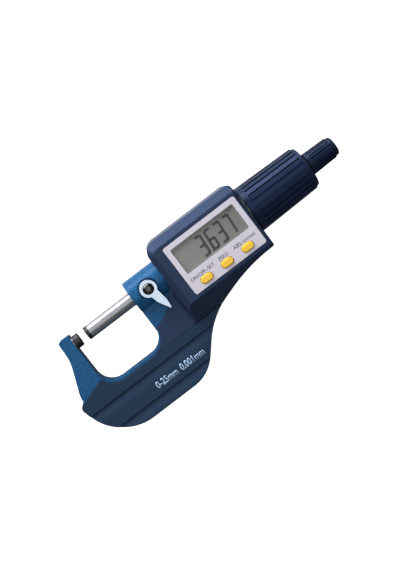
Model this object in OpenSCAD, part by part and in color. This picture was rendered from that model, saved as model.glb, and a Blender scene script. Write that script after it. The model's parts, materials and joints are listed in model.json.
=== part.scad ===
// Outside micrometer, 0 to 25 mm, with an electronic display.
// Origin: centre of the anvil's measuring face. +X runs along the spindle towards the ratchet,
// +Y away from the grip, +Z out of the display.

/* [Measuring line] */
// Gap between the two measuring faces
gap = 3.637; // [0:0.001:25]
// Diameter of the spindle and the anvil
spindle_d = 6.5; // [6:0.05:6.7]
// Length of each carbide tip on the measuring line
tip_l = 1.9; // [1:0.1:3]
// Pitch of the measuring thread
pitch = 0.5; // [0.5:0.25:1]
// Radial clearance of the running fits
run_gap = 0.03; // [0.01:0.01:0.08]

/* [Frame] */
// Thickness of the C-shaped frame
frame_t = 9; // [8:0.5:10]
// Depth of the throat below the spindle axis
throat_depth = 25.15; // [24:0.05:26]
// Distance from the anvil arm to the spindle boss
throat_w = 33.2; // [32:0.1:34]
// Corner radius of the throat
throat_r = 8.6; // [6:0.1:9]
// How far the anvil stands out of its arm
anvil_out = 3.3; // [3:0.1:4]
// Diameter of the boss that guides the spindle
boss_d = 16.7; // [15:0.1:17]

/* [Grip and housing] */
// Height of the covers' faces over the spindle axis plane
cover_z = 6.7; // [6.3:0.1:7.5]
// Wall thickness of the plastic covers
wall = 2.2; // [1.8:0.1:2.4]
// Y of the seam between the housing and the grip covers
seam_y = -25.7; // [-26:0.1:-25.5]
// Height of the display box's front face
face_z = 15.7; // [15.3:0.1:16.5]
// Depth of the display box's back face
back_z = 13.5; // [13.5:0.1:15]
// X of the box's left wall
box_left = 47.1; // [46.5:0.1:47.5]
// X of the box's right wall
box_right = 94.8; // [94.6:0.1:95]
// Y of the box's top wall
box_top = 15.9; // [15.5:0.1:17]
// Depth of the recess that the thimble closes into
recess_depth = 3.4; // [3.2:0.1:3.5]

/* [Display] */
// Size of the face plate
plate_size = [39, 25]; // [20:0.1:45]
// Size of the display window
window_size = [33.9, 13.05]; // [10:0.05:35]
// Size of each oval button
button_size = [5.96, 3.34]; // [3:0.02:6]
// Distance between button centres
button_pitch = 11.25; // [10:0.05:12]
// How far a button travels
button_travel = 0.5; // [0.3:0.1:0.5]

/* [Thimble and ratchet] */
// Thimble diameter at its open end
thimble_d = 23.16; // [22:0.02:23.3]
// Thimble diameter at the far end of its ribs
thimble_end_d = 21.7; // [21:0.1:23]
// Ribs round the thimble
rib_count = 24; // [16:1:36]
// Ratchet knob diameter at its open end
knob_d = 10.9; // [10:0.1:12]
// Ribs round the ratchet knob
knob_ribs = 20; // [12:1:30]

/* [Hidden] */
$fn = 64;
eps = 0.01;
chord_error = 0.03;             // how far a rounded corner's steps may stand off the true arc
half_t = frame_t / 2;
spindle_r = spindle_d / 2;
boss_r = boss_d / 2;
press_gap = 0.01;
throat_left = -anvil_out;
throat_right = throat_left + throat_w;
throat_end = 30;                // the throat is open upwards past this height
skin_gap = 0.1;                 // between the covers and the painted frame
seam_gap = 0.2;
groove_depth = 0.8;
groove_y = [-30.95, -42.35];     // across the grip covers

// Overall outline of covers and housing: [x, y, corner radius], anticlockwise.
body = [[-18.9, -24.6, 2.5], [-13.3, -48, 23.8], [36.8, -48, 18], [53.4, -28.3, 41],
    [80.8, -18.3, 70], [box_right, -18.3, 1], [box_right, box_top, 2.5], [box_left, box_top, 5.5],
    [box_left, -4.4, 0.8], [38.8, -15.2, 20], [20, -17.84, 0], [-1, -18.92, 0]];
// Outline of the arm that carries the anvil.
arm = [[-8.9, 4.7, 1.2], [-9.4, -5.2, 18], [-16.4, -22, 10], [-15, -30, 0], [2, -32, 0],
    [2, 4.2, 0]];
web = [[throat_left + 10, -18], [50.5, 0]];      // flat web under the boss, two corners

// Boss, encoder and sleeves along the axis.
boss_end = 51;
shelf_y = -10.5;                // top of the frame's shelf inside the box
shelf_end = 89.8;
rear_boss = [76, 89.8];
rear_boss_r = 8;
inner_sleeve_r = 5.5;
inner_sleeve_x = [76.5, 122];
outer_sleeve_r = 8.8;
outer_sleeve_x = [85, 121];
thread_r = 3.6;
thread_depth = 0.27;
thread_x = [85, 122.4];         // from the spindle's face
spindle_end = 124.4;
spindle_tail_r = 3;
keyway_x = [29.4, 60.8];
keyway_w = 1.1;
keyway_floor = 2.45;
stator_x = [boss_end, 52.4];
encoder_r = 9.5;
rotor_x = [52.9, 54.1];
rotor_sleeve_x = [53, 61];
rotor_sleeve_r = 5;

// Thimble group, from the spindle's face.
thimble_x = 91.96;
thimble_r = thimble_d / 2;
thimble_end_r = thimble_end_d / 2;
collar_l = 2.8;
rib_end = 31.5;
rim_r = 10.2;                   // of the plain ring past the ribs
thimble_l = 33.85;
core_r = 9.6;
core_bore = 9.05;
core_x = [thimble_x + 1, 124.2];
core_wall = 1.6;
knob_x = 126;
knob_l = 15.05;
knob_r = knob_d / 2;

// Lock.
lock_x = 38.6;
lock_floor = 6.3;
lock_recess_r = 4.8;
lock_hub_r = 4.1;
lock_z = [6.4, 8.6, 10.2];      // hub's underside, arm's underside, top
cam_r = 1.95;
lever_arm = [[-1.6, -2, 0], [-0.4, -7.2, 5], [2.8, -12.9, 0.5], [3.55, -12.9, 0.5],
    [3.95, -8.5, 8], [2.9, -1.5, 0]];

// Display stack, heights over the axis.
cavity_z = 13.9;
plate_z = [15.2, 16];
board_z = [10, 11];
panel_z = [13.1, 15.1];
window_z = [15.12, 15.85];
button_z = [14.3, 16.7];
plate_at = [53.95, -14.65];     // lower left corner
window_at = [56.5, -5.12];
button_first = [62.2, -11.4];
panel_rim = 0.5;
fit_gap = 0.3;
button_gap = 0.44;              // between a button and its hole, both sides together
window_ledge = [0.65, 0.65, 0.75];  // left and right, below, above
box_wall = 1.8;
front_slope_y = -16.4;
back_slope_y = -18.8;

// Fastenings: [x, y].
grip_posts = [[-9, -30], [10, -38], [36, -37]];
box_posts = [[53, 12.2], [87.3, 12.2], [87, -15.4]];
skirt_post = [38, -21];
board_posts = [[58.5, 10.9], [52.8, -12], [79.05, -11.4], [82, 10.9]];
post_r = 2.3;
post_foot = 0.2;                // the front posts start just above the seam
box_pilot_r = 1.05;
cover_pilot_r = 0.95;
board_pilot_r = 0.75;
shank_hole_r = 1.15;
box_head_hole_r = 1.9;
cover_head_hole_r = 2;

// Battery.
cell_at = [69, 7.2];
cell_r = 5.8;
cell_z = [-12.1, -6.7];
cover_r = 6.9;
lug_r = 7.7;

function unit(v) = v / norm(v);
function cross2(a, b) = a.x * b.y - a.y * b.x;
function xy(p) = [p.x, p.y];

// Points of one rounded corner at b, between neighbours a and c.
function corner(a, b, c, r) =
    let (u = unit(a - b), w = unit(c - b), half = acos(u * w) / 2)
    r <= 0 ? [b] :
    let (reach = r / tan(half), p = b + u * reach, centre = b + unit(u + w) * r / sin(half),
        from = atan2(p.y - centre.y, p.x - centre.x),
        sweep = (180 - 2 * half) * sign(cross2(-u, w)),
        steps = max(2, ceil(abs(sweep) / (2 * acos(1 - chord_error / max(r, 0.2))))))
    [for (i = [0:steps]) centre + r * [cos(from + sweep * i / steps), sin(from + sweep * i / steps)]];

// A closed outline with each corner rounded by its own radius.
function outline(pts) = let (n = len(pts))
    [for (i = [0:n - 1])
        each corner(xy(pts[(i + n - 1) % n]), xy(pts[i]), xy(pts[(i + 1) % n]), pts[i][2])];

// The same outline moved inwards by d, with its arcs still concentric.
function inset(pts, d) = let (n = len(pts))
    [for (i = [0:n - 1])
        let (e = unit(xy(pts[i]) - xy(pts[(i + n - 1) % n])), f = unit(xy(pts[(i + 1) % n]) - xy(pts[i])),
            normals = [-e.y - f.y, e.x + f.x], spread = 1 + e * f,
            p = xy(pts[i]) + normals * d / spread,
            r = pts[i][2] == 0 ? 0 : max(0.1, pts[i][2] - sign(cross2(e, f)) * d))
        [p.x, p.y, r]];

// ---- shared shapes ----

module along_x(x) {
    translate([x, 0, 0]) rotate([0, 90, 0]) children();
}

module rod(x0, x1, r) {
    along_x(x0) cylinder(r = r, h = x1 - x0);
}

module tube(x0, x1, r, bore) {
    difference() {
        rod(x0, x1, r);
        rod(x0 - 1, x1 + 1, bore);
    }
}

// A solid of revolution about the axis from [x, r] points.
module turned(points) {
    rotate([0, 90, 0]) rotate_extrude() polygon([for (p = points) [p[1], p[0]]]);
}

module slab(z0, z1) {
    translate([0, 0, z0]) linear_extrude(z1 - z0) children();
}

module post(p, z0, z1, r) {
    translate([p.x, p.y, z0]) cylinder(r = r, h = z1 - z0, $fn = 32);
}

module rounded_plate(at, size, r) {
    polygon(outline([[at.x, at.y, r], [at.x + size.x, at.y, r],
        [at.x + size.x, at.y + size.y, r], [at.x, at.y + size.y, r]]));
}

module stadium(at, size) {
    reach = (size.x - size.y) / 2;
    translate(at) {
        square([2 * reach, size.y], center = true);
        for (side = [-1, 1])
            translate([side * reach, 0]) circle(d = size.y, $fn = 32);
    }
}

// The throat, grown by d.
module throat(d) {
    r = throat_r + d;
    x0 = throat_left - d;
    x1 = throat_right + d;
    y0 = -throat_depth - d;
    translate([x0 + r, y0]) square([x1 - x0 - 2 * r, throat_end]);
    translate([x0, y0 + r]) square([x1 - x0, throat_end]);
    for (x = [x0 + r, x1 - r])
        translate([x, y0 + r]) circle(r);
}

// A coil spring about the axis, swept as a ring of points for each step.
module coil(x0, x1, r, wire, turns) {
    sides = 6;
    per_turn = 14;
    rings = turns * per_turn;
    span = x1 - x0 - wire;
    points = [for (i = [0:rings], j = [0:sides - 1])
        let (t = 360 * i / per_turn, a = 360 * j / sides, at = r + wire / 2 * cos(a))
        [x0 + wire / 2 + span * i / rings + wire / 2 * sin(a), at * cos(t), at * sin(t)]];
    polyhedron(points, [
        [for (j = [0:sides - 1]) j],
        for (i = [0:rings - 1], j = [0:sides - 1])
            let (k = (j + 1) % sides)
            each [[i * sides + j, (i + 1) * sides + j, (i + 1) * sides + k],
                [i * sides + j, (i + 1) * sides + k, i * sides + k]],
        [for (j = [sides - 1:-1:0]) rings * sides + j]]);
}

// A screw that points up from z0: shank to z1, pan head below, cross recess.
module cover_screw(p, z0, z1, head_r, shank_r) {
    head_t = 1.3;
    recess_w = 0.5;
    recess_t = 0.7;
    difference() {
        union() {
            post(p, z0, z0 + head_t, head_r);
            post(p, z0 + head_t - eps, z1, shank_r);
        }
        for (turn = [0, 90])
            translate([p.x, p.y, z0]) rotate(turn)
                cube([2 * head_r * 0.7, recess_w, 2 * recess_t], center = true);
    }
}

// ---- frame ----

module frame_region() {
    polygon([[-30, -60], [shelf_end, -60], [shelf_end, shelf_y], [boss_end, shelf_y],
        [boss_end, 0], [-30, 0]]);
}

// The frame's flat outline grown by d, before the throat is cut.
module frame_blank(d) {
    intersection() {
        polygon(outline(inset(body, wall + skin_gap - d)));
        frame_region();
    }
    polygon(outline(inset(arm, -d)));
    translate([web[0].x, web[0].y - d]) square([web[1].x - web[0].x, web[1].y - web[0].y + d]);
}

module frame() color("#2a66a0") {
    cell_clear = 0.2;
    difference() {
        union() {
            linear_extrude(frame_t, center = true) difference() {
                frame_blank(0);
                throat(0);
            }
            rod(throat_right, boss_end, boss_r);
            rod(rear_boss[0], rear_boss[1], rear_boss_r);
            translate([rear_boss[0], shelf_y - 1, -half_t])
                cube([outer_sleeve_x[0] - 0.2 - rear_boss[0], 6, frame_t]);
        }
        rod(throat_left - 4.3, throat_left + 1, spindle_r + press_gap);
        rod(throat_right - 1, boss_end + 1, spindle_r + run_gap);
        rod(rear_boss[0] - 1, rear_boss[1] + 1, inner_sleeve_r + press_gap);
        post([lock_x, 0], lock_floor, boss_r + 1, lock_recess_r);
        post([lock_x, 0], 0, boss_r, cam_r + 0.05);
        for (p = concat(grip_posts, [skirt_post, box_posts[2]]))
            post(p, -frame_t, frame_t, post_r + cell_clear);
    }
}

module anvil_stem() color("#b9bec4")
    rod(throat_left - 4.2, -tip_l - 1.1, spindle_r);

module anvil_tip() color("#3c3a41")
    rod(-tip_l - 1.1, 0, spindle_r);

// ---- grip covers ----

module grip_region() {
    polygon([[-30, -10], [-30, -60], [110, -60], [110, seam_y - seam_gap / 2],
        [15, seam_y - seam_gap / 2], [15, -10]]);
}

// One groove across a cover: steep above, a long gentle rise below.
module grip_groove(y) {
    rise = 3.8;
    translate([-40, 0, 0]) rotate([90, 0, 90]) linear_extrude(120)
        polygon([[y + 0.5, cover_z + eps], [y, cover_z - groove_depth],
            [y - rise, cover_z + eps]]);
}

module grip_shell() {
    difference() {
        slab(0, cover_z) difference() {
            intersection() {
                polygon(outline(body));
                grip_region();
            }
            throat(0.7);
        }
        slab(-1, half_t) frame_blank(skin_gap);
        for (y = groove_y)
            grip_groove(y);
    }
}

module grip_cover_front() color("#26304a") {
    difference() {
        union() {
            grip_shell();
            for (p = grip_posts)
                post(p, post_foot, half_t + eps, post_r);
        }
        for (p = grip_posts)
            post(p, 0, half_t, cover_pilot_r);
    }
}

module grip_cover_back() color("#26304a") {
    head_seat = 2.1;
    difference() {
        union() {
            mirror([0, 0, 1]) grip_shell();
            for (p = grip_posts)
                post(p, -half_t - eps, 0, post_r);
        }
        for (p = grip_posts) {
            post(p, -cover_z - 1, -cover_z + head_seat, cover_head_hole_r);
            post(p, -cover_z, 1, shank_hole_r);
        }
    }
}

module grip_screws() color("#8f949a")
    for (p = grip_posts)
        cover_screw(p, -cover_z + 0.7, 3.6, 1.8, 0.9);

// ---- housing ----

module housing_region() {
    polygon([[15, seam_y + seam_gap / 2], [110, seam_y + seam_gap / 2], [110, 30], [15, 30]]);
}

module housing_plan() {
    difference() {
        intersection() {
            polygon(outline(body));
            housing_region();
        }
        throat(0.7);
    }
}

// A straight-walled block with its two upper corners rounded: walls at x0 and x1, top wall at y.
module box_block(x0, x1, y, r, height) {
    depth = 60;
    for (c = [[x0 + r[0], r[0]], [x1 - r[1], r[1]]])
        translate([c[0], y - c[1], 0]) cylinder(r = c[1], h = height, $fn = 48);
    translate([x0, -depth, 0]) cube([x1 - x0, depth, height]);
}

// The housing seen from its left side: a flat face, then a slope down to the seam.
// face: height of the face; slope_y: where the slope starts.
module side_profile(face, slope_y) {
    far = 40;
    translate([box_left - 10, 0, 0]) rotate([90, 0, 90]) linear_extrude(far + 30)
        polygon(outline([[-far, 0, 0], [box_top + 1, 0, 0], [box_top + 1, face, 0],
            [slope_y, face, 0.8], [seam_y, cover_z, 0], [-far, cover_z, 0]]));
}

// The display box: its plan, cut by the slopes of its sides.
// bevels: [left, top, right], measured in the plan.
module box_solid(face, slope_y, bevels, bevel_h) {
    far = 40;
    corner_r = [5.5, 2.5];      // left and right, at the wall
    face_r = [2.2, 0.8];        // the same corners at the face
    right_h = bevel_h * 0.45;
    intersection() {
        slab(0, face) housing_plan();
        hull() {
            box_block(box_left, box_right, box_top, corner_r, face - bevel_h);
            box_block(box_left + bevels[0], box_right, box_top - bevels[1], face_r, face);
        }
        side_profile(face, slope_y);
        translate([0, box_top + 1, 0]) rotate([90, 0, 0]) linear_extrude(2 * far)
            polygon(outline([[box_left - 1, 0, 0], [box_right, 0, 0],
                [box_right, face - right_h, 1], [box_right - bevels[2], face, 0.6],
                [box_left - 1, face, 0]]));
    }
}

// The low skirt left of the box, with a concave fillet where it meets the box's wall.
module skirt(face, slope_y) {
    fillet = 2.3;
    slab(0, cover_z) intersection() {
        housing_plan();
        square([110, 100], center = true);
    }
    intersection() {
        slab(0, cover_z + fillet) housing_plan();
        side_profile(face, slope_y);
        difference() {
            translate([box_left - fillet, seam_y - 5, cover_z - eps])
                cube([fillet + 1, 22, fillet]);
            translate([box_left - fillet, 0, cover_z + fillet]) rotate([90, 0, 0])
                cylinder(r = fillet, h = 80, center = true);
        }
    }
}

// Hollow of the box, inset from its side walls by the given [left, lower y, top] and up to a height.
module box_cavity(left, low_y, upper, height) {
    x0 = box_left + left;
    slab(-eps, height) rounded_plate([x0, low_y],
        [box_right - recess_depth - 1.4 - x0, box_top - upper - low_y], 1.2);
}

// Everything that both housing halves leave free: frame, boss, sleeve and thimble recess.
module housing_clearance() {
    slab(-1, half_t) frame_blank(skin_gap);
    rod(throat_right, box_left + 5, boss_r + skin_gap);
    rod(box_right - recess_depth, box_right + 1, thimble_r + 0.37);
    rod(shelf_end - 2, box_right, outer_sleeve_r + skin_gap);
}

module box_rib(p, z1) {
    edge = p.y > 0 ? box_top - 1 : -17.5;
    translate([p.x - post_r, min(p.y, edge), post_foot])
        cube([2 * post_r, abs(edge - p.y), z1 - post_foot]);
}

module housing_front() color("#2b3858") {
    post_top = 9.8;
    button_clear = 1.3;
    difference() {
        union() {
            difference() {
                union() {
                    box_solid(face_z, front_slope_y, [2.56, 3.84, 1], 2.5);
                    skirt(face_z, front_slope_y);
                }
                box_cavity(box_wall, -16, box_wall, board_z[1] + 0.05);
                box_cavity(box_wall + 1.9, -14.9, box_wall + 3.1, cavity_z);
                housing_clearance();
            }
            for (p = box_posts) {
                post(p, post_foot, post_top, post_r);
                box_rib(p, post_top);
            }
            post(skirt_post, post_foot, half_t + 0.3, post_r);
            for (p = board_posts)
                post(p, board_z[1], cavity_z + 0.3, 1.6);
        }
        slab(plate_z[0], face_z + 1)
            rounded_plate(plate_at - [fit_gap, fit_gap], plate_size + 2 * [fit_gap, fit_gap], 1.1);
        slab(panel_z[0] - 0.15, face_z) translate(window_at - [window_ledge.x, window_ledge.y])
            square(window_size + [2 * window_ledge.x, window_ledge.y + window_ledge.z]);
        slab(cavity_z - 1, face_z) for (i = [0:2])
            stadium(button_first + [i * button_pitch, 0], button_size + [button_clear, button_clear]);
        for (p = box_posts)
            post(p, 0, post_top - 1, box_pilot_r);
        post(skirt_post, 0, half_t, cover_pilot_r);
        for (p = board_posts)
            post(p, board_z[1] - 1, 13, board_pilot_r);
    }
}

module housing_back() color("#26304a") {
    seat = back_z - box_wall;
    difference() {
        union() {
            difference() {
                mirror([0, 0, 1]) union() {
                    box_solid(back_z, back_slope_y, [1.5, 1.5, 0.9], 1.5);
                    skirt(back_z, back_slope_y);
                }
                mirror([0, 0, 1]) {
                    box_cavity(box_wall, -16, box_wall, seat);
                    housing_clearance();
                }
            }
            for (p = box_posts)
                mirror([0, 0, 1]) {
                    post(p, 0, seat + 0.5, post_r);
                    box_rib(p, seat + 0.5);
                }
            post(skirt_post, -half_t - 0.3, 0, post_r);
            post(cell_at, -seat - 0.2, cell_z[1] + 0.4, cell_r + 1.2);
        }
        for (p = box_posts) {
            post(p, -back_z - 1, -back_z + 2.6, box_head_hole_r);
            post(p, -back_z, 1, shank_hole_r);
        }
        post(skirt_post, -cover_z - 1, -cover_z + 2.1, cover_head_hole_r);
        post(skirt_post, -cover_z, 1, shank_hole_r);
        post(cell_at, -back_z, 0, cell_r + 0.2);
        post(cell_at, -back_z - 1, -12.15, cover_r + 0.1);
        post(cell_at, -12.95, -12.1, lug_r + 0.15);
        for (turn = [60, 240])
            translate([cell_at.x, cell_at.y, -back_z - 1]) rotate(turn) lug_sector(15, 2.2);
    }
}

module housing_screws() color("#8f949a") {
    for (p = box_posts)
        cover_screw(p, -back_z + 0.6, 8, 1.7, 1);
    cover_screw(skirt_post, -cover_z + 0.7, 3.6, 1.8, 0.9);
}

// ---- display ----

module face_plate() color("#cdc8d7") {
    slab(plate_z[0], plate_z[1]) difference() {
        rounded_plate(plate_at, plate_size, 1);
        rounded_plate(window_at, window_size, 0.7);
        for (i = [0:2])
            stadium(button_first + [i * button_pitch, 0], button_size + [button_gap, button_gap]);
    }
}

module display_window() color("#9a9c98", 0.5) {
    slab(window_z[0], window_z[1])
        rounded_plate(window_at + [0.05, 0.05], window_size - [0.1, 0.1], 0.65);
}

module display_panel() color("#7d7d78") {
    slab(panel_z[0], panel_z[1]) translate(window_at - [panel_rim, panel_rim])
        square(window_size + 2 * [panel_rim, panel_rim]);
}

module strip_slots(d) {
    strip = [30, 2];
    for (y = [window_at.y + 0.6, window_at.y + window_size.y - 2.6])
        translate([window_at.x + 1.5 - d, y - d]) square(strip + 2 * [d, d]);
}

module display_holder() color("#d9d9d4") {
    slab(board_z[1], panel_z[0]) difference() {
        translate(window_at) square([window_size.x - 1, window_size.y]);
        translate(window_at + [2, 4]) square([28, 5]);
        strip_slots(0.05);
    }
}

module connector_strips() color("#d48fa0")
    slab(board_z[1], panel_z[0]) strip_slots(0);

module circuit_board() color("#2f6b46") {
    slab(board_z[0], board_z[1]) difference() {
        translate([49, -14]) square([40.5, 27]);
        for (p = board_posts)
            translate(p) circle(0.9, $fn = 24);
    }
}

module board_screws() color("#8f949a")
    for (p = board_posts)
        cover_screw(p, board_z[0] - 1.31, 12.8, 1.4, 0.7);

module push_button(i) {
    flange = 1;
    at = button_first + [i * button_pitch, 0];
    slab(button_z[0], button_z[1]) stadium(at, button_size);
    slab(button_z[0], plate_z[0] - 0.1) stadium(at, button_size + [flange, flange]);
}

module power_button() color("#fac332") push_button(0);
module zero_button() color("#fac332") push_button(1);
module mode_button() color("#fac332") push_button(2);

module button_switches() color("#33363b")
    for (i = [0:2])
        translate(button_first + [i * button_pitch, 0]) {
            translate([-2.2, -1.6, board_z[1]]) cube([4.4, 3.2, 1.8]);
            post([0, 0], board_z[1] + 1.8 - eps, button_z[0] - button_travel - 0.06, 1);
        }

// ---- battery ----

// A sector of a disc, half_angle to each side of +X.
module lug_sector(half_angle, height) {
    reach = lug_r * 1.25;
    intersection() {
        cylinder(r = lug_r + 0.1, h = height);
        linear_extrude(height) polygon([[0, 0], reach * [cos(half_angle), -sin(half_angle)],
            reach * [cos(half_angle), sin(half_angle)]]);
    }
}

module battery() color("#c4c7ca")
    difference() {
        post(cell_at, cell_z[0], cell_z[1], cell_r);
        translate([cell_at.x, cell_at.y, cell_z[1] - 0.6]) difference() {
            cylinder(r = cell_r + 1, h = 1);
            cylinder(r = cell_r - 1, h = 3, center = true);
        }
    }

module battery_contact() color("#c9a94e") {
    strip_w = 3;
    translate([cell_at.x - strip_w / 2, cell_at.y - 4, cell_z[1]]) cube([strip_w, 9, 0.3]);
    translate([cell_at.x - strip_w / 2, cell_at.y + 4.7, cell_z[1]]) cube([strip_w, 0.3, 16.4]);
}

module battery_cover() color("#1d2438") {
    slot = [9.5, 1.6, 0.8];
    difference() {
        union() {
            post(cell_at, -back_z + 0.2, -12.2, cover_r);
            for (turn = [0, 180])
                translate([cell_at.x, cell_at.y, -12.85]) rotate(turn) intersection() {
                    lug_sector(11, 0.6);
                    cylinder(r = lug_r, h = 5, center = true);
                }
        }
        translate([cell_at.x, cell_at.y, -back_z + 0.2]) rotate(60)
            cube([slot.x, slot.y, 2 * slot.z], center = true);
    }
}

// ---- encoder on the spindle ----

module stator_disc() color("#2f6b46")
    tube(stator_x[0], stator_x[1], encoder_r, 4.2);

module stator_ribbon() color("#c98a3c")
    translate([stator_x[0] + 0.3, -3, encoder_r]) cube([0.4, 6, board_z[0] - encoder_r]);

module rotor_disc() color("#3f7a55")
    tube(rotor_x[0], rotor_x[1], encoder_r - 0.2, rotor_sleeve_r + press_gap);

module rotor_sleeve() color("#c7a24a")
    difference() {
        rod(rotor_sleeve_x[0], rotor_sleeve_x[1], rotor_sleeve_r);
        rod(rotor_sleeve_x[0] - 1, rotor_sleeve_x[1] + 1, spindle_r + run_gap);
        translate([55, -0.55, 0]) cube([5.05, 1.1, rotor_sleeve_r + 1]);
    }

module rotor_key() color("#b9bec4")
    translate([55.05, -0.5, keyway_floor + 0.1]) cube([4.95, 1, 2.2]);

module rotor_spring() color("#a7abb0")
    coil(rotor_sleeve_x[1] + 0.1, rear_boss[0] - 0.1, 4.5, 0.6, 6);

// ---- spindle and sleeves ----

module spindle() color("#c3c6ca") translate([gap, 0, 0]) {
    teeth = floor((thread_x[1] - thread_x[0]) / pitch);
    difference() {
        turned(concat([[tip_l, 0], [tip_l, spindle_r], [thread_x[0] - 1, spindle_r]],
            [for (i = [0:teeth - 1]) each [
                [thread_x[0] + i * pitch, thread_r - thread_depth],
                [thread_x[0] + (i + 0.5) * pitch, thread_r]]],
            [[thread_x[1], spindle_tail_r], [spindle_end, spindle_tail_r], [spindle_end, 0]]));
        translate([keyway_x[0], -keyway_w / 2, keyway_floor])
            cube([keyway_x[1] - keyway_x[0], keyway_w, 2]);
        rod(spindle_end - 9, spindle_end + 1, 1.5 + press_gap);
    }
}

module spindle_tip() color("#3c3a41")
    rod(gap, gap + tip_l, spindle_r);

module inner_sleeve() color("#b4b9be")
    difference() {
        rod(inner_sleeve_x[0], inner_sleeve_x[1], inner_sleeve_r);
        rod(inner_sleeve_x[0] - 1, inner_sleeve_x[1] + 1, thread_r + 0.05);
        for (turn = [0, 120, 240])
            rotate([turn, 0, 0]) translate([110, -0.3, 0]) cube([20, 0.6, 10]);
    }

module adjusting_nut() color("#8f949a")
    difference() {
        tube(117, 121.5, 6.8, inner_sleeve_r + press_gap);
        for (turn = [0:60:300])
            rotate([turn, 0, 0]) translate([119.5, 6.4, -0.5]) cube([3, 1, 1]);
    }

module outer_sleeve() color("#c9cdd1")
    tube(outer_sleeve_x[0], outer_sleeve_x[1], outer_sleeve_r, rear_boss_r + press_gap);

// ---- thimble and ratchet ----

module thimble_core() color("#a9aeb4") translate([gap, 0, 0])
    difference() {
        rod(core_x[0], core_x[1], core_r);
        rod(core_x[0] - 1, core_x[1] - core_wall, core_bore);
        rod(core_x[0], core_x[1] + 1, spindle_tail_r + press_gap);
    }

module thimble() color("#1e284b") translate([gap, 0, 0]) {
    groove = [rib_end - collar_l, 1, 0.6];
    draft = atan((thimble_r - thimble_end_r) / rib_end);
    nose = 0.8;
    crown = 0.8;
    difference() {
        translate([thimble_x, 0, 0]) turned(concat([[0, core_r + press_gap],
            [0, thimble_r - 0.3], [0.3, thimble_r], [rib_end - 0.3, thimble_end_r],
            [rib_end, thimble_end_r - 0.3], [rib_end, rim_r]],
            [for (a = [90:-20:10]) [thimble_l - crown - nose + nose * cos(a),
                rim_r - nose + nose * sin(a)]],
            [[thimble_l, 4.6], [thimble_l, 3.4], [core_x[1] - thimble_x + 0.02, 3.4],
                [core_x[1] - thimble_x + 0.02, core_r + press_gap]]));
        for (i = [0:rib_count - 1])
            rotate([i * 360 / rib_count, 0, 0])
                translate([thimble_x + collar_l, -groove.y / 2, 0]) rotate([0, draft, 0])
                    translate([0, 0, thimble_r - groove.z - 0.08]) cube(groove + [0.2, 0, 2]);
    }
}

module ratchet_stem() color("#b9bec4") translate([gap, 0, 0])
    difference() {
        union() {
            rod(spindle_end - 8.5, knob_x + 10, 1.5);
            rod(knob_x + 8.6, knob_x + 10.2, 2.7);
        }
        translate([knob_x + 10.2, 0, 0]) cube([1.4, 0.7, 8], center = true);
    }

// A ratchet disc with radial ridges on the side that dir points to.
module clutch_disc(x0, x1, dir, bore) {
    teeth = 24;
    ridge = [0.25, 0.3, 1.4];
    translate([gap, 0, 0]) difference() {
        union() {
            rod(x0, x1, 3.75);
            for (i = [0:teeth - 1])
                rotate([i * 360 / teeth, 0, 0])
                    translate([dir > 0 ? x1 - eps : x0 - ridge.x + eps, -ridge.y / 2, 2.2])
                        cube([ridge.x, ridge.y, ridge.z]);
        }
        rod(x0 - 1, x1 + 1, bore);
    }
}

module clutch_disc_fixed() color("#8f949a")
    clutch_disc(knob_x - 0.1, knob_x + 1.2, 1, 1.5 + press_gap);

module clutch_disc_driven() color("#8f949a")
    clutch_disc(knob_x + 1.8, knob_x + 3.2, -1, 1.6);

module ratchet_spring() color("#a7abb0") translate([gap, 0, 0])
    coil(knob_x + 3.25, knob_x + 8.5, 2.5, 0.5, 3);

module ratchet_knob() color("#1e284b") translate([gap + knob_x, 0, 0]) {
    taper = 0.3;
    nose = 1.2;
    rib_x = [2.2, 12.95];
    groove = [rib_x[1] - rib_x[0] + 0.2, 0.6, 1];
    ring_r = 4.65;
    difference() {
        turned(concat([[0, 3.85], [0, knob_r - 0.4], [0.3, knob_r],
            [rib_x[1] - 0.3, knob_r - taper], [rib_x[1], knob_r - taper - 0.3], [rib_x[1], ring_r]],
            [for (a = [90:-18:0]) [knob_l - nose + nose * cos(a), ring_r - nose + nose * sin(a)]],
            [[knob_l, 0], [knob_l - 2.2, 0], [knob_l - 2.2, 3.85]]));
        for (i = [0:knob_ribs - 1])
            rotate([i * 360 / knob_ribs, 0, 0])
                translate([rib_x[0], -groove.y / 2, knob_r - taper - 0.3]) cube(groove);
    }
}

// ---- lock ----

module lock_lever() color("#d5d7da") translate([lock_x, 0, 0])
    difference() {
        union() {
            post([0, 0], lock_z[0], lock_z[2], lock_hub_r);
            slab(lock_z[1], lock_z[2]) polygon(outline(lever_arm));
        }
        post([0, 0], 0, 20, 1.5 + press_gap);
    }

module lock_screw() color("#17181b") translate([lock_x, 0, 0]) {
    head_r = 2.7;
    dome = 1.4;
    dome_r = (head_r * head_r + dome * dome) / (2 * dome);
    difference() {
        union() {
            intersection() {
                translate([0, 0, lock_z[2] + dome - dome_r]) sphere(dome_r);
                post([0, 0], lock_z[2], lock_z[2] + 5, head_r);
            }
            post([0, 0], lock_z[0], lock_z[2] + eps, 1.5);
            post([0, 0], 5.1, lock_z[0] - 0.02, cam_r);
            post([0, 0], lock_z[0] - 0.1, lock_z[0], 1.5);
        }
        translate([0, 0, lock_z[2] + 0.3]) cylinder(d = 2.3, h = 5, $fn = 6);
    }
}

module lock_pad() color("#c7a24a")
    difference() {
        post([lock_x, 0], 2, 5, cam_r);
        rod(lock_x - 5, lock_x + 5, spindle_r + run_gap + 0.02);
    }

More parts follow.
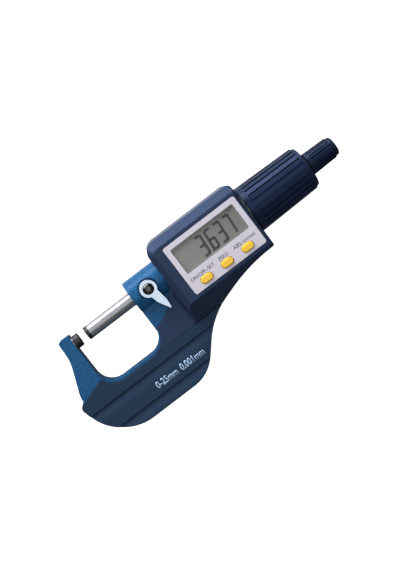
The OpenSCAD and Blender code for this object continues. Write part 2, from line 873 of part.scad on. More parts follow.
frame();
anvil_stem();
anvil_tip();
grip_cover_front();
grip_cover_back();
grip_screws();
housing_front();
housing_back();
housing_screws();
face_plate();
display_window();
display_panel();
display_holder();
connector_strips();
circuit_board();
board_screws();
power_button();
zero_button();
mode_button();
button_switches();
battery();
battery_contact();
battery_cover();
stator_disc();
stator_ribbon();
rotor_disc();
rotor_sleeve();
rotor_key();
rotor_spring();
spindle();
spindle_tip();
inner_sleeve();
adjusting_nut();
outer_sleeve();
thimble_core();
thimble();
ratchet_stem();
clutch_disc_fixed();
clutch_disc_driven();
ratchet_spring();
ratchet_knob();
lock_lever();
lock_screw();
lock_pad();
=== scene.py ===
import json
import math

import bmesh
import bpy
from mathutils import Matrix, Vector


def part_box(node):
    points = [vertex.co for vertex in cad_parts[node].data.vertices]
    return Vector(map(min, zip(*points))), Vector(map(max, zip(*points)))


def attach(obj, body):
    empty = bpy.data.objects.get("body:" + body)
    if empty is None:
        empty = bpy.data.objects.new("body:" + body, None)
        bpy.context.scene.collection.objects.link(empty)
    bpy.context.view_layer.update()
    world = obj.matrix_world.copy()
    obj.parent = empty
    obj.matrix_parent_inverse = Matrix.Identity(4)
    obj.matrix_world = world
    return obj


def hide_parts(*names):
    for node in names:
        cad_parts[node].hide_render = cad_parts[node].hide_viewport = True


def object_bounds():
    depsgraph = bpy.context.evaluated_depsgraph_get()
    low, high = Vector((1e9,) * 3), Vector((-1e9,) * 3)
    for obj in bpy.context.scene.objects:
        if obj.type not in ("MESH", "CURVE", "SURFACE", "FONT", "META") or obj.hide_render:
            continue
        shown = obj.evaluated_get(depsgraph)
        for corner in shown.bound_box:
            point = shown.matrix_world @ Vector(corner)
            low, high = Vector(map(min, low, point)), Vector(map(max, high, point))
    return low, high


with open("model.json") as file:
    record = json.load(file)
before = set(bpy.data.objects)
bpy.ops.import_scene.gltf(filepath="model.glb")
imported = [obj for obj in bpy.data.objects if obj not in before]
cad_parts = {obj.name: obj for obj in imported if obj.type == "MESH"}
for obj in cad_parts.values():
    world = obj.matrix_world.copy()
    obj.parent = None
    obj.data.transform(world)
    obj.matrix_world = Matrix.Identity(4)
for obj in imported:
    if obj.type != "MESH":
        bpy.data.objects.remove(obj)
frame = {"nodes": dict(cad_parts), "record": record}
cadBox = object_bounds()
millimetre = 0.001
print("frame loaded:", len(frame["nodes"]), "nodes")


# Colours and nodes
def toLinear(hexColour):
    channels = [int(hexColour[i:i + 2], 16) / 255 for i in (1, 3, 5)]
    return [c / 12.92 if c <= 0.04045 else ((c + 0.055) / 1.055) ** 2.4 for c in channels] + [1]


def addNode(tree, kind, settings=None, values=None, links=None):
    node = tree.nodes.new(kind)
    for name, value in (settings or {}).items():
        setattr(node, name, value)
    for name, value in (values or {}).items():
        node.inputs[name].default_value = value
    for name, source in (links or {}).items():
        tree.links.new(source, node.inputs[name])
    return node


def startMaterial(name, shaderValues):
    material = bpy.data.materials.new(name)
    material.use_nodes = True
    tree = material.node_tree
    shader = tree.nodes["Principled BSDF"]
    for socket, value in shaderValues.items():
        shader.inputs[socket].default_value = value
    where = addNode(tree, "ShaderNodeTexCoord")
    return material, tree, shader, where.outputs["Object"]


# Hammer-finish enamel on the cast frame: the paint draws up into dimples about 0.8 mm across,
# so the blue breaks into lighter rims and darker hollows under a blue sheen.
def makeHammerEnamel():
    s = {"grain": 0.8, "drift": 1.1, "low": "#13446E", "high": "#22608F", "bump": 0.4, "depth": 0.08,
         "cellShare": 0.6, "driftShare": 0.7, "rampStart": 0.35, "rampEnd": 0.95}
    material, tree, shader, where = startMaterial(
        "hammerEnamel", {"Roughness": 0.36, "Specular IOR Level": 0.3,
                         "Specular Tint": (0.35, 0.6, 1.0, 1.0)})
    cells = addNode(tree, "ShaderNodeTexVoronoi", {"feature": "SMOOTH_F1"},
                    {"Scale": 1 / (s["grain"] * millimetre), "Smoothness": 0.6}, {"Vector": where})
    drift = addNode(tree, "ShaderNodeTexNoise", None, {"Scale": 1 / (s["drift"] * millimetre), "Detail": 3},
                    {"Vector": where})
    blend = addNode(tree, "ShaderNodeMath", {"operation": "MULTIPLY_ADD"}, {1: s["cellShare"], 2: 0.0},
                    {0: cells.outputs["Distance"]})
    total = addNode(tree, "ShaderNodeMath", {"operation": "MULTIPLY_ADD"}, {1: s["driftShare"]},
                    {0: drift.outputs["Fac"], 2: blend.outputs["Value"]})
    ramp = addNode(tree, "ShaderNodeValToRGB", links={"Fac": total.outputs["Value"]})
    ramp.color_ramp.elements[0].color = toLinear(s["low"])
    ramp.color_ramp.elements[1].color = toLinear(s["high"])
    ramp.color_ramp.elements[0].position = s["rampStart"]
    ramp.color_ramp.elements[1].position = s["rampEnd"]
    tree.links.new(ramp.outputs["Color"], shader.inputs["Base Color"])
    bump = addNode(tree, "ShaderNodeBump", values={"Strength": s["bump"],
                   "Distance": s["depth"] * millimetre}, links={"Height": total.outputs["Value"]})
    tree.links.new(bump.outputs["Normal"], shader.inputs["Normal"])
    return material


# Moulded ABS from a spark-eroded mould: a fine matt grain of 0.15 mm, drawn at 0.35 mm so that it shows,
# a very slow drift of shade, and a sheen that stays blue rather than white.
def makeMouldedAbs(name, low, high, roughness):
    s = {"grain": 0.35, "drift": 22, "bump": 0.25, "depth": 0.02, "glossier": 0.06, "duller": 0.08}
    material, tree, shader, where = startMaterial(
        name, {"Roughness": roughness, "IOR": 1.53, "Specular IOR Level": 0.3,
               "Specular Tint": (0.35, 0.52, 1.0, 1.0)})
    grain = addNode(tree, "ShaderNodeTexNoise", None,
                    {"Scale": 1 / (s["grain"] * millimetre), "Detail": 2, "Roughness": 0.6},
                    {"Vector": where})
    drift = addNode(tree, "ShaderNodeTexNoise", None, {"Scale": 1 / (s["drift"] * millimetre), "Detail": 1},
                    {"Vector": where})
    ramp = addNode(tree, "ShaderNodeValToRGB", links={"Fac": drift.outputs["Fac"]})
    ramp.color_ramp.elements[0].color = toLinear(low)
    ramp.color_ramp.elements[1].color = toLinear(high)
    tree.links.new(ramp.outputs["Color"], shader.inputs["Base Color"])
    spread = addNode(tree, "ShaderNodeMapRange", None,
                     {"To Min": roughness - s["glossier"], "To Max": roughness + s["duller"]},
                     {"Value": grain.outputs["Fac"]})
    tree.links.new(spread.outputs["Result"], shader.inputs["Roughness"])
    bump = addNode(tree, "ShaderNodeBump", values={"Strength": s["bump"],
                   "Distance": s["depth"] * millimetre}, links={"Height": grain.outputs["Fac"]})
    tree.links.new(bump.outputs["Normal"], shader.inputs["Normal"])
    return material


# Metal finished on a lathe or cylindrical grinder: faint rings round the X axis. ringStep is the wave's
# length in mm for each radian, so 0.12 draws rings 0.75 mm apart, which is coarser than real ones.
def makeTurnedMetal(name, low, high, roughness, ringStep, bumpStrength=0.12):
    s = {"streak": 0.35, "stretch": 0.12, "ringDetail": 100 / 6, "depth": 0.01, "waveFactor": 20,
         "glossier": 0.06, "duller": 0.1, "rampStart": 0.3, "rampEnd": 0.7}
    material, tree, shader, where = startMaterial(name, {"Metallic": 1.0, "Roughness": roughness})
    rings = addNode(tree, "ShaderNodeTexWave", {"bands_direction": "X", "wave_profile": "SIN"},
                    {"Scale": 1 / (ringStep * millimetre * s["waveFactor"]), "Distortion": 1.5, "Detail": 3,
                     "Detail Scale": s["ringDetail"]}, {"Vector": where})
    stretch = addNode(tree, "ShaderNodeMapping", None, {"Scale": (1, s["stretch"], s["stretch"])},
                      {"Vector": where})
    streaks = addNode(tree, "ShaderNodeTexNoise", None,
                      {"Scale": 1 / (s["streak"] * millimetre), "Detail": 4},
                      {"Vector": stretch.outputs["Vector"]})
    ramp = addNode(tree, "ShaderNodeValToRGB", links={"Fac": streaks.outputs["Fac"]})
    ramp.color_ramp.elements[0].color = toLinear(low)
    ramp.color_ramp.elements[1].color = toLinear(high)
    ramp.color_ramp.elements[0].position = s["rampStart"]
    ramp.color_ramp.elements[1].position = s["rampEnd"]
    tree.links.new(ramp.outputs["Color"], shader.inputs["Base Color"])
    spread = addNode(tree, "ShaderNodeMapRange", None,
                     {"To Min": roughness - s["glossier"], "To Max": roughness + s["duller"]},
                     {"Value": streaks.outputs["Fac"]})
    tree.links.new(spread.outputs["Result"], shader.inputs["Roughness"])
    bump = addNode(tree, "ShaderNodeBump", values={"Strength": bumpStrength,
                   "Distance": s["depth"] * millimetre}, links={"Height": rings.outputs["Fac"]})
    tree.links.new(bump.outputs["Normal"], shader.inputs["Normal"])
    return material


# A plated, lacquered, rubber or printed surface: fine grit in two near shades. grit is its size in mm, drawn
# coarser than real on the finest ones, and variation is how far the roughness strays to each side.
def makeGritted(name, low, high, values, grit, bumpStrength, variation):
    s = {"depth": 0.02, "smoothest": 0.02, "rampStart": 0.25, "rampEnd": 0.75}
    material, tree, shader, where = startMaterial(name, values)
    noise = addNode(tree, "ShaderNodeTexNoise", None,
                    {"Scale": 1 / (grit * millimetre), "Detail": 3, "Roughness": 0.55}, {"Vector": where})
    ramp = addNode(tree, "ShaderNodeValToRGB", links={"Fac": noise.outputs["Fac"]})
    ramp.color_ramp.elements[0].color = toLinear(low)
    ramp.color_ramp.elements[1].color = toLinear(high)
    ramp.color_ramp.elements[0].position = s["rampStart"]
    ramp.color_ramp.elements[1].position = s["rampEnd"]
    tree.links.new(ramp.outputs["Color"], shader.inputs["Base Color"])
    rough = values["Roughness"]
    spread = addNode(tree, "ShaderNodeMapRange", None,
                     {"To Min": max(s["smoothest"], rough - variation), "To Max": rough + variation},
                     {"Value": noise.outputs["Fac"]})
    tree.links.new(spread.outputs["Result"], shader.inputs["Roughness"])
    if bumpStrength:
        bump = addNode(tree, "ShaderNodeBump", values={"Strength": bumpStrength,
                       "Distance": s["depth"] * millimetre}, links={"Height": noise.outputs["Fac"]})
        tree.links.new(bump.outputs["Normal"], shader.inputs["Normal"])
    return material


# The reflective film behind a passive liquid crystal display: grey-green, with painted light that makes it a
# little lighter to the left than to the right, and the faint speckle of its spacer beads, drawn far coarser
# than real.
def makeDisplayFilm():
    # left and right are the film's grey-green under painted light: lighter at the left end, darker at the
    # right
    s = {"beads": 0.5, "speckle": 0.12, "left": "#858882", "right": "#777772"}
    material, tree, shader, where = startMaterial("displayFilm", {"Roughness": 0.55})
    low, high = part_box("display_panel")
    across = addNode(tree, "ShaderNodeSeparateXYZ", links={"Vector": where})
    # painted light: the colour runs across the panel from the lighter left end to the darker right end
    paintedLightFade = addNode(tree, "ShaderNodeMapRange", None, {"From Min": low.x, "From Max": high.x},
                   {"Value": across.outputs["X"]})
    beads = addNode(tree, "ShaderNodeTexNoise", None,
                    {"Scale": 1 / (s["beads"] * millimetre), "Detail": 2},
                    {"Vector": where})
    total = addNode(tree, "ShaderNodeMath", {"operation": "MULTIPLY_ADD"}, {1: s["speckle"]},
                    {0: beads.outputs["Fac"], 2: paintedLightFade.outputs["Result"]})
    ramp = addNode(tree, "ShaderNodeValToRGB", links={"Fac": total.outputs["Value"]})
    ramp.color_ramp.elements[0].color = toLinear(s["left"])
    ramp.color_ramp.elements[1].color = toLinear(s["right"])
    tree.links.new(ramp.outputs["Color"], shader.inputs["Base Color"])
    return material


# Clear polycarbonate window with a hard coat: nearly all light goes through, a soft sheen stays on top.
def makeClearWindow():
    s = {"haze": 9, "low": "#B4B8B2", "high": "#C4C8C2"}
    material, tree, shader, where = startMaterial(
        "clearPolycarbonate", {"Roughness": 0.22, "IOR": 1.585, "Alpha": 0.05, "Specular IOR Level": 0.3})
    film = addNode(tree, "ShaderNodeTexNoise", None, {"Scale": 1 / (s["haze"] * millimetre), "Detail": 1},
                   {"Vector": where})
    ramp = addNode(tree, "ShaderNodeValToRGB", links={"Fac": film.outputs["Fac"]})
    ramp.color_ramp.elements[0].color = toLinear(s["low"])
    ramp.color_ramp.elements[1].color = toLinear(s["high"])
    tree.links.new(ramp.outputs["Color"], shader.inputs["Base Color"])
    return material


finishes = {
    "hammer_paint": makeHammerEnamel(),
    "navy_abs": makeMouldedAbs("navyMouldedAbs", "#232F45", "#27344B", 0.38),
    "grip_abs": makeMouldedAbs("gripMouldedAbs", "#1F3043", "#233649", 0.46),
    "thimble_abs": makeMouldedAbs("thimbleMouldedAbs", "#162038", "#1A253F", 0.4),
    "knob_abs": makeMouldedAbs("knobMouldedAbs", "#10192C", "#141E33", 0.42),
    "carbide": makeTurnedMetal("sinteredCarbide", "#38373C", "#48474D", 0.5, 0.2),  # dark, even grinding
    # bright with soft rings
    "ground_steel": makeTurnedMetal("groundSteel", "#909194", "#9D9EA1", 0.42, 0.12, 0.04),
    "satin_chrome": makeTurnedMetal("satinChrome", "#8E9296", "#9DA1A5", 0.4, 0.25),  # even, mid grey
    # chrome over polished steel: clear white reflections with hardly any grain
    "bright_chrome": makeGritted("brightChrome", "#98A5B4", "#A8B5C3", {"Metallic": 1.0, "Roughness": 0.26},
                                 1.2, 0.03, 0.04),
    # oiled black oxide: near black with a sharp highlight
    "black_oxide": makeGritted("blackOxide", "#0B0C0F", "#15161A", {"Metallic": 0.2, "Roughness": 0.2,
                               "Coat Weight": 0.5, "Coat Roughness": 0.08}, 0.5, 0.05, 0.05),
    # silver lacquer on a stamped plate: pale, with fine flakes
    "silver_plate": makeGritted("silverLacquer", "#CBC6D3", "#DAD6E1", {"Metallic": 0.15, "Roughness": 0.42},
                                0.3, 0.12, 0.06),
    "display_glass": makeClearWindow(),
    "display_film": makeDisplayFilm(),
    # dyed silicone rubber: warm yellow, soft broad highlight
    "yellow_button": makeGritted("yellowSilicone", "#FFC424", "#FFD540", {"Roughness": 0.36, "IOR": 1.43,
                                 "Subsurface Weight": 0.05, "Subsurface Scale": 0.001}, 0.6, 0.05, 0.05),
    # zinc plate over a cold-headed screw: bluish grey, slightly cloudy
    "zinc_screw": makeGritted("zincPlate", "#A9AEB6", "#C4C8CE", {"Metallic": 1.0, "Roughness": 0.36},
                              0.6, 0.08, 0.1),
    # rolled brass: warm yellow metal with soft tarnish clouds
    "brass": makeGritted("rolledBrass", "#B38B3E", "#D0AA5A", {"Metallic": 1.0, "Roughness": 0.34},
                         1.5, 0.06, 0.1),
    # solder-masked glass epoxy: deep green gloss, slightly uneven
    "board_laminate": makeGritted("solderMaskGreen", "#1B5A35", "#27703F", {"Roughness": 0.3, "IOR": 1.5},
                                  0.5, 0.1, 0.08),
    # moulded white acetal: waxy and slightly warm
    "white_plastic": makeGritted("whiteAcetal", "#D8D8D2", "#E4E4DF", {"Roughness": 0.45, "IOR": 1.48},
                                 0.8, 0.05, 0.05),
    # silicone connector: dull pink rubber
    "elastomer": makeGritted("pinkElastomer", "#C07E90", "#D493A4", {"Roughness": 0.7}, 0.3, 0.15, 0.05),
    # glass-filled nylon: dull black with a dusty grain
    "switch_black": makeGritted("blackNylon", "#1B1C1F", "#2A2B2F", {"Roughness": 0.55}, 0.35, 0.15, 0.06),
    # nickel-plated cell can: bright and slightly yellow
    "cell_steel": makeGritted("nickelCell", "#C2C1BC", "#D6D5D0", {"Metallic": 1.0, "Roughness": 0.26},
                              0.9, 0.05, 0.06),
    # oiled spring wire: dark bright steel
    "spring_steel": makeGritted("springWire", "#7D8085", "#989BA0", {"Metallic": 1.0, "Roughness": 0.3},
                                0.4, 0.06, 0.08),
    # liquid crystal segments switched on: a flat violet black
    "crystal_segments": makeGritted("crystalSegments", "#2A222E", "#322936", {"Roughness": 0.5},
                                    0.5, 0, 0.03),
    # screen ink on the plate: matt blue black
    "plate_ink": makeGritted("plateInk", "#22253A", "#2C2F46", {"Roughness": 0.6}, 0.2, 0.05, 0.05),
    # pad-printed pale blue ink on the grip
    "grip_ink": makeGritted("gripInk", "#A3C4EC", "#B4D2F4", {"Roughness": 0.5}, 0.2, 0.05, 0.05),
    # white studio board under the object: matt paper grain
    "studio_board": makeGritted("studioBoard", "#F2F2F2", "#F8F8F8", {"Roughness": 0.9,
                                "Emission Color": (1, 1, 1, 1), "Emission Strength": 0.85}, 0.6, 0.02, 0.03),
}
print("materials made:", len(finishes))


# Edit-mode and modifier helpers
def deselectAll():
    bpy.ops.object.select_all(action="DESELECT")


def activate(piece):
    deselectAll()
    piece.select_set(True)
    bpy.context.view_layer.objects.active = piece


def setFinish(piece, finish):
    piece.data.materials.clear()
    piece.data.materials.append(finishes[finish])


def selectEdges(piece, test):
    bpy.ops.mesh.select_mode(type="EDGE")
    bpy.ops.mesh.select_all(action="DESELECT")
    mesh = bmesh.from_edit_mesh(piece.data)
    chosen = 0
    for edge in mesh.edges:
        if test(edge):
            edge.select = True
            chosen += 1
    mesh.select_flush_mode()
    bmesh.update_edit_mesh(piece.data)
    return chosen


def addModifier(piece, kind, settings):
    activate(piece)
    modifier = piece.modifiers.new(kind.lower(), kind)
    for name, value in settings.items():
        setattr(modifier, name, value)
    bpy.ops.object.modifier_apply(modifier=modifier.name)


def smoothShade(piece, angle=35, weight=60):
    activate(piece)
    bpy.ops.object.shade_smooth_by_angle(angle=math.radians(angle))
    addModifier(piece, "WEIGHTED_NORMAL", {"keep_sharp": True, "weight": weight})


def copyOfNode(nodeName, pieceName):  # the node's own shape as one merged mesh
    s = {"mergeWithin": 0.001, "flatWithin": 0.6}  # mm and degrees
    source = frame["nodes"][nodeName]
    piece = source.copy()
    piece.data = source.data.copy()
    piece.name = pieceName
    piece.parent = None
    for key in list(piece.keys()):
        del piece[key]
    bpy.context.scene.collection.objects.link(piece)
    activate(piece)
    bpy.ops.mesh.customdata_custom_splitnormals_clear()
    bpy.ops.object.mode_set(mode="EDIT")
    bpy.ops.mesh.select_all(action="SELECT")
    bpy.ops.mesh.remove_doubles(threshold=s["mergeWithin"] * millimetre)
    bpy.ops.mesh.dissolve_limited(angle_limit=math.radians(s["flatWithin"]))
    bpy.ops.object.mode_set(mode="OBJECT")
    return piece


def edgeAngle(edge):
    return math.degrees(edge.calc_face_angle(0)) if len(edge.link_faces) == 2 else 0


def isOutward(edge):  # convex edges only
    return len(edge.link_faces) == 2 and edge.is_convex


def middle(edge):
    return (edge.verts[0].co + edge.verts[1].co) / 2


def bevelEdges(piece, test, width, segments):
    activate(piece)
    bpy.ops.object.mode_set(mode="EDIT")
    chosen = selectEdges(piece, test)
    if chosen:
        bpy.ops.mesh.bevel(offset=width * millimetre, offset_type="OFFSET", segments=segments,
                           clamp_overlap=True, miter_outer="ARC")
    bpy.ops.object.mode_set(mode="OBJECT")
    return chosen


def place(piece, body, slot, finish, *nodes):
    setFinish(piece, finish)
    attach(piece, body)
    if nodes:
        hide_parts(*nodes)


# The CAD nodes that stay visible take the finish of their slot
for entry in frame["record"]["subparts"]:
    nodeObject = frame["nodes"][entry["node"]]
    nodeObject.data.materials.clear()
    nodeObject.data.materials.append(finishes[entry["material_slot"]])
print("slots dressed on the carried-over nodes")


# Cast, moulded, turned and stamped parts: the CAD shape with its sharp edges rounded, widths in mm and
# angles in degrees. A finish is named where it isn't the slot's own.
softened = {
    "frameCasting": {"node": "frame", "body": "frame_body", "slot": "hammer_paint",
                     "width": 0.55, "angle": 40, "segments": 3},
    "gripCoverFront": {"node": "grip_cover_front", "body": "frame_body", "slot": "navy_abs",
                       "finish": "grip_abs", "width": 0.3, "angle": 40, "segments": 3},
    "gripCoverBack": {"node": "grip_cover_back", "body": "frame_body", "slot": "navy_abs",
                      "finish": "grip_abs", "width": 0.3, "angle": 40, "segments": 3},
    "housingFront": {"node": "housing_front", "body": "frame_body", "slot": "navy_abs",
                     "width": 0.55, "angle": 28, "segments": 4},
    "housingBack": {"node": "housing_back", "body": "frame_body", "slot": "navy_abs",
                    "width": 0.3, "angle": 35, "segments": 2},
    "batteryDoor": {"node": "battery_cover", "body": "battery_cover_body", "slot": "navy_abs",
                    "width": 0.15, "angle": 40, "segments": 2},
    "facePlate": {"node": "face_plate", "body": "frame_body", "slot": "silver_plate",
                  "width": 0.12, "angle": 40, "segments": 2},
    "lockLever": {"node": "lock_lever", "body": "lock_body", "slot": "bright_chrome",
                  "width": 0.5, "angle": 40, "segments": 5},
    "lockScrew": {"node": "lock_screw", "body": "lock_body", "slot": "black_oxide",
                  "width": 0.12, "angle": 40, "segments": 2},
    "anvilStem": {"node": "anvil_stem", "body": "frame_body", "slot": "ground_steel",
                  "width": 0.1, "angle": 40, "segments": 2},
    "anvilTip": {"node": "anvil_tip", "body": "frame_body", "slot": "carbide",
                 "width": 0.12, "angle": 40, "segments": 2},
    "spindleTip": {"node": "spindle_tip", "body": "spindle_body", "slot": "carbide",
                   "width": 0.12, "angle": 40, "segments": 2},
    "sleeveTube": {"node": "outer_sleeve", "body": "frame_body", "slot": "satin_chrome",
                   "width": 0.2, "angle": 40, "segments": 2},
    "thimbleShell": {"node": "thimble", "body": "spindle_body", "slot": "navy_abs",
                     "finish": "thimble_abs", "width": 0.16, "angle": 32, "segments": 2},
    "ratchetKnob": {"node": "ratchet_knob", "body": "ratchet_body", "slot": "navy_abs",
                    "finish": "knob_abs", "width": 0.1, "angle": 32, "segments": 2},
}
for pieceName, s in softened.items():
    piece = copyOfNode(s["node"], pieceName)
    count = bevelEdges(piece, lambda e: isOutward(e) and edgeAngle(e) > s["angle"], s["width"], s["segments"])
    print(pieceName, "edges softened:", count)
    smoothShade(piece)
    place(piece, s["body"], s["slot"], s.get("finish", s["slot"]), s["node"])
print("softened copies made")


# Rubber push buttons with a rounded top edge
def makeButton(nodeName, body, pieceName):
    s = {"edge": 0.5, "segments": 4, "sharpest": 40, "rim": 0.01, "smooth": 50}
    piece = copyOfNode(nodeName, pieceName)
    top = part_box(nodeName)[1].z
    rim = top - s["rim"] * millimetre
    bevelEdges(piece, lambda e: isOutward(e) and edgeAngle(e) > s["sharpest"] and middle(e).z > rim,
               s["edge"], s["segments"])
    smoothShade(piece, s["smooth"])
    place(piece, body, "yellow_button", "yellow_button", nodeName)


makeButton("power_button", "power_button_body", "powerButton")
makeButton("zero_button", "zero_button_body", "zeroButton")
makeButton("mode_button", "mode_button_body", "modeButton")
print("buttons made")


# The reading, in mm from the window's lower left corner; a negative gap laps the bars at the corners
reading = {
    "digits": "3637", "left": 10.35, "pitch": 5.0, "low": 0.95, "width": 3.85, "height": 10.2, "stroke": 1.2,
    "slant": 4.5, "gap": -0.22, "thickness": 0.04, "pointSize": 0.95, "pointGap": 0.75, "pointLift": 0.4,
    "barPoint": 0.42,  # share of the bar's width
}
segmentsOf = {"3": "abgcd", "6": "afgcde", "7": "abc"}


def strokePlate(start, end, width, thickness):  # a flat bar with pointed ends
    length = (end - start).length
    bpy.ops.mesh.primitive_cube_add(size=1)
    bar = bpy.context.object
    bar.scale = (length, width, thickness)
    bpy.ops.object.transform_apply(location=False, rotation=False, scale=True)
    bpy.ops.object.mode_set(mode="EDIT")
    selectEdges(bar, lambda e: abs(e.verts[0].co.z - e.verts[1].co.z) > thickness / 2)
    bpy.ops.mesh.bevel(offset=width * reading["barPoint"], segments=1, clamp_overlap=True)
    bpy.ops.object.mode_set(mode="OBJECT")
    turn = math.atan2(end.y - start.y, end.x - start.x)
    bar.data.transform(Matrix.Translation((start + end) / 2) @ Matrix.Rotation(turn, 4, "Z"))
    return bar


def joinPieces(parts, name):
    deselectAll()
    for part in parts:
        part.select_set(True)
    bpy.context.view_layer.objects.active = parts[0]
    bpy.ops.object.join()
    parts[0].name = name
    return parts[0]


def makeReading():
    s = reading
    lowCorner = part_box("display_window")[0]
    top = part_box("display_panel")[1].z
    half = s["height"] / 2
    lean = math.tan(math.radians(s["slant"]))
    inset = s["stroke"] / 2
    right = s["width"] - inset
    spots = {"a": ((inset, s["height"] - inset), (right, s["height"] - inset)),
             "b": ((right, half), (right, s["height"] - inset)), "c": ((right, inset), (right, half)),
             "d": ((inset, inset), (right, inset)), "e": ((inset, inset), (inset, half)),
             "f": ((inset, half), (inset, s["height"] - inset)), "g": ((inset, half), (right, half))}
    bars = []
    for i, digit in enumerate(s["digits"]):
        for name in segmentsOf[digit]:
            start, end = (Vector((x * millimetre, y * millimetre, 0)) for x, y in spots[name])
            along = (end - start).normalized() * s["gap"] * millimetre
            bar = strokePlate(start + along, end - along, s["stroke"] * millimetre,
                              s["thickness"] * millimetre)
            x = lowCorner.x + (s["left"] + i * s["pitch"]) * millimetre
            shear = Matrix.Identity(4)
            shear[0][1] = lean  # digits lean to the right
            bar.data.transform(Matrix.Translation((x, lowCorner.y + s["low"] * millimetre,
                                                   top + s["thickness"] / 2 * millimetre)) @ shear)
            bars.append(bar)
    x = lowCorner.x + (s["left"] + s["width"] + s["pointGap"]) * millimetre  # after the first digit
    size = s["pointSize"] * millimetre
    point = strokePlate(Vector((0, 0, 0)), Vector((size, 0, 0)), size, s["thickness"] * millimetre)
    point.data.transform(Matrix.Translation((x, lowCorner.y + (s["low"] + s["pointLift"]) * millimetre,
                                             top + s["thickness"] / 2 * millimetre)))
    bars.append(point)
    piece = joinPieces(bars, "displayReading")
    place(piece, "frame_body", "display_film", "crystal_segments")


makeReading()
print("display reading made")


# Printed labels
plateLabels = {  # in mm from the plate's lower left corner
    "labelPower": {"text": "ON/OFF–SET", "centre": (8.15, 6.45), "width": 12.6, "height": 1.7},
    "labelZero": {"text": "ZERO", "centre": (19.55, 6.45), "width": 5.2, "height": 1.7},
    "labelMode": {"text": "ABS–in/mm", "centre": (30.95, 6.45), "width": 11.6, "height": 1.7},
}
gripLabels = {  # in mm on the model's own axes
    "labelRange": {"text": "0-25mm", "left": 14.7, "right": 26.4, "low": -39.15, "high": -35.75},
    "labelStep": {"text": "0.001mm", "left": 28.2, "right": 41.3, "low": -39.15, "high": -35.75},
}
unit = {"text": "mm", "left": 3.4, "right": 0.9, "low": 1.9, "high": 0.8}  # mm in from the window's top right
lettering = {"size": 10, "inkDepth": 0.02, "plateWeight": 0.03, "gripWeight": 0.2}  # mm


def printedText(text, name, left, right, low, high, surface, ink, slot, weight=0.0):
    bpy.ops.object.text_add()
    words = bpy.context.object
    words.data.body = text
    words.data.size = lettering["size"] * millimetre
    words.data.offset = weight * millimetre
    words.data.fill_mode = "FRONT"
    activate(words)
    bpy.ops.object.convert(target="MESH")
    piece = bpy.context.object
    piece.name = name
    corners = [v.co for v in piece.data.vertices]
    x0, x1 = min(c.x for c in corners), max(c.x for c in corners)
    y0, y1 = min(c.y for c in corners), max(c.y for c in corners)
    fit = Matrix.Diagonal(((right - left) / (x1 - x0), (high - low) / (y1 - y0), 1, 1))
    piece.data.transform(Matrix.Translation((left, low, surface)) @ fit @ Matrix.Translation((-x0, -y0, 0)))
    addModifier(piece, "SOLIDIFY", {"thickness": lettering["inkDepth"] * millimetre, "offset": 1})
    place(piece, "frame_body", slot, ink)


plateLow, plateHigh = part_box("face_plate")
for pieceName, s in plateLabels.items():
    x, y = plateLow.x + s["centre"][0] * millimetre, plateLow.y + s["centre"][1] * millimetre
    w, h = s["width"] / 2 * millimetre, s["height"] / 2 * millimetre
    printedText(s["text"], pieceName, x - w, x + w, y - h, y + h, plateHigh.z, "plate_ink", "silver_plate",
                lettering["plateWeight"])
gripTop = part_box("grip_cover_front")[1].z
for pieceName, s in gripLabels.items():
    printedText(s["text"], pieceName, s["left"] * millimetre, s["right"] * millimetre, s["low"] * millimetre,
                s["high"] * millimetre, gripTop, "grip_ink", "navy_abs", lettering["gripWeight"])
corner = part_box("display_window")[1]
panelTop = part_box("display_panel")[1].z
printedText(unit["text"], "displayUnit",
            corner.x - unit["left"] * millimetre, corner.x - unit["right"] * millimetre,
            corner.y - unit["low"] * millimetre, corner.y - unit["high"] * millimetre, panelTop,
            "crystal_segments", "display_film")
print("labels made")


# Floor, lights and camera
def makeBoard(name, low, high, height):
    centre = ((low[0] + high[0]) / 2, (low[1] + high[1]) / 2, height)
    bpy.ops.mesh.primitive_plane_add(size=1, location=centre)
    board = bpy.context.object
    board.scale = (high[0] - low[0], high[1] - low[1], 1)
    bpy.ops.object.transform_apply(location=True, rotation=False, scale=True)
    board.name = name
    setFinish(board, "studio_board")
    return board


def makeFloor():
    s = {"reach": 2.5, "drop": 0.0002, "cardStart": 0.013, "cardEnd": 0.5}  # metres
    height = cadBox[0][2] - s["drop"]
    floor = makeBoard("studioFloor", (-s["reach"], -s["reach"]), (s["reach"], s["reach"]), height)
    floor.visible_diffuse = False  # it throws no light back, so undersides stay dark
    floor.visible_glossy = False
    # the lit side of the table: seen only in reflections, as a pale line along the upper edges
    card = makeBoard("bounceCard", (-s["cardEnd"], s["cardStart"]), (s["cardEnd"], s["cardEnd"]), height)
    card.visible_camera = False
    card.visible_diffuse = False
    card.visible_shadow = False


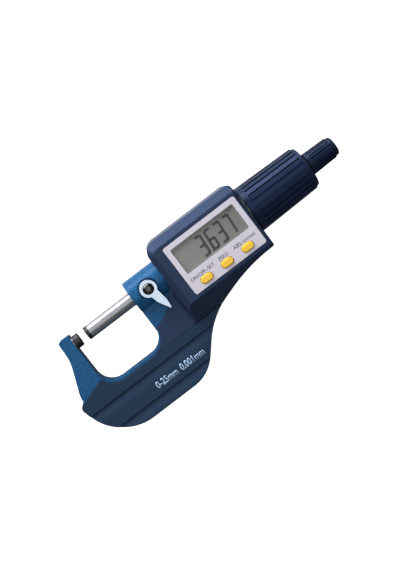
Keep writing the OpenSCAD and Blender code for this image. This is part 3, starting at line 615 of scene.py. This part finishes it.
lights = {  # metres and watts
    "keyPanel": {"at": (-0.12, 0.85, 0.26), "size": (1.2, 0.42), "watts": 17},
    "overhead": {"at": (0.03, 0.08, 0.9), "size": (0.7, 0.7), "watts": 2.9},
    "lowFill": {"at": (0.05, -0.8, 0.34), "size": (1.2, 0.3), "watts": 0.45},
}
lightTarget = Vector((0.055, -0.01, 0.0))
studioAir = {"colour": "#E6ECF6", "strength": 0.13}


def addSoftLight(name, at, size, watts):
    data = bpy.data.lights.new(name, "AREA")
    data.shape = "RECTANGLE"
    data.size, data.size_y = size
    data.energy = watts
    lamp = bpy.data.objects.new(name, data)
    bpy.context.scene.collection.objects.link(lamp)
    lamp.location = at
    lamp.rotation_euler = (lightTarget - lamp.location).to_track_quat("-Z", "Y").to_euler()


def setStage():
    makeFloor()
    for name, s in lights.items():
        addSoftLight(name, s["at"], s["size"], s["watts"])
    world = bpy.data.worlds.new("studio")
    world.use_nodes = True
    air = world.node_tree.nodes["Background"]
    air.inputs["Color"].default_value = toLinear(studioAir["colour"])
    air.inputs["Strength"].default_value = studioAir["strength"]
    bpy.context.scene.world = world
    bpy.context.scene.view_settings.view_transform = "Standard"


def addCamera():
    s = {"at": (0.057863, 0.033892, 0.452507), "tilt": 6.0, "roll": 37.4, "lens": 63.2,
         "sensor": 36, "near": 0.01}
    tilt, roll = math.radians(s["tilt"]), math.radians(s["roll"])
    back = Vector((0, math.sin(tilt), math.cos(tilt)))
    across = Vector((0, -math.cos(tilt), math.sin(tilt)))
    right = math.cos(roll) * Vector((1, 0, 0)) + math.sin(roll) * across
    up = math.sin(roll) * Vector((1, 0, 0)) - math.cos(roll) * across
    data = bpy.data.cameras.new("view")
    data.lens = s["lens"]
    data.sensor_width = s["sensor"]
    data.clip_start = s["near"]
    camera = bpy.data.objects.new("view", data)
    bpy.context.scene.collection.objects.link(camera)
    turn = Matrix((right, up, back)).transposed().to_4x4()
    camera.matrix_world = Matrix.Translation(s["at"]) @ turn
    bpy.context.scene.camera = camera


setStage()
addCamera()
print("stage set")
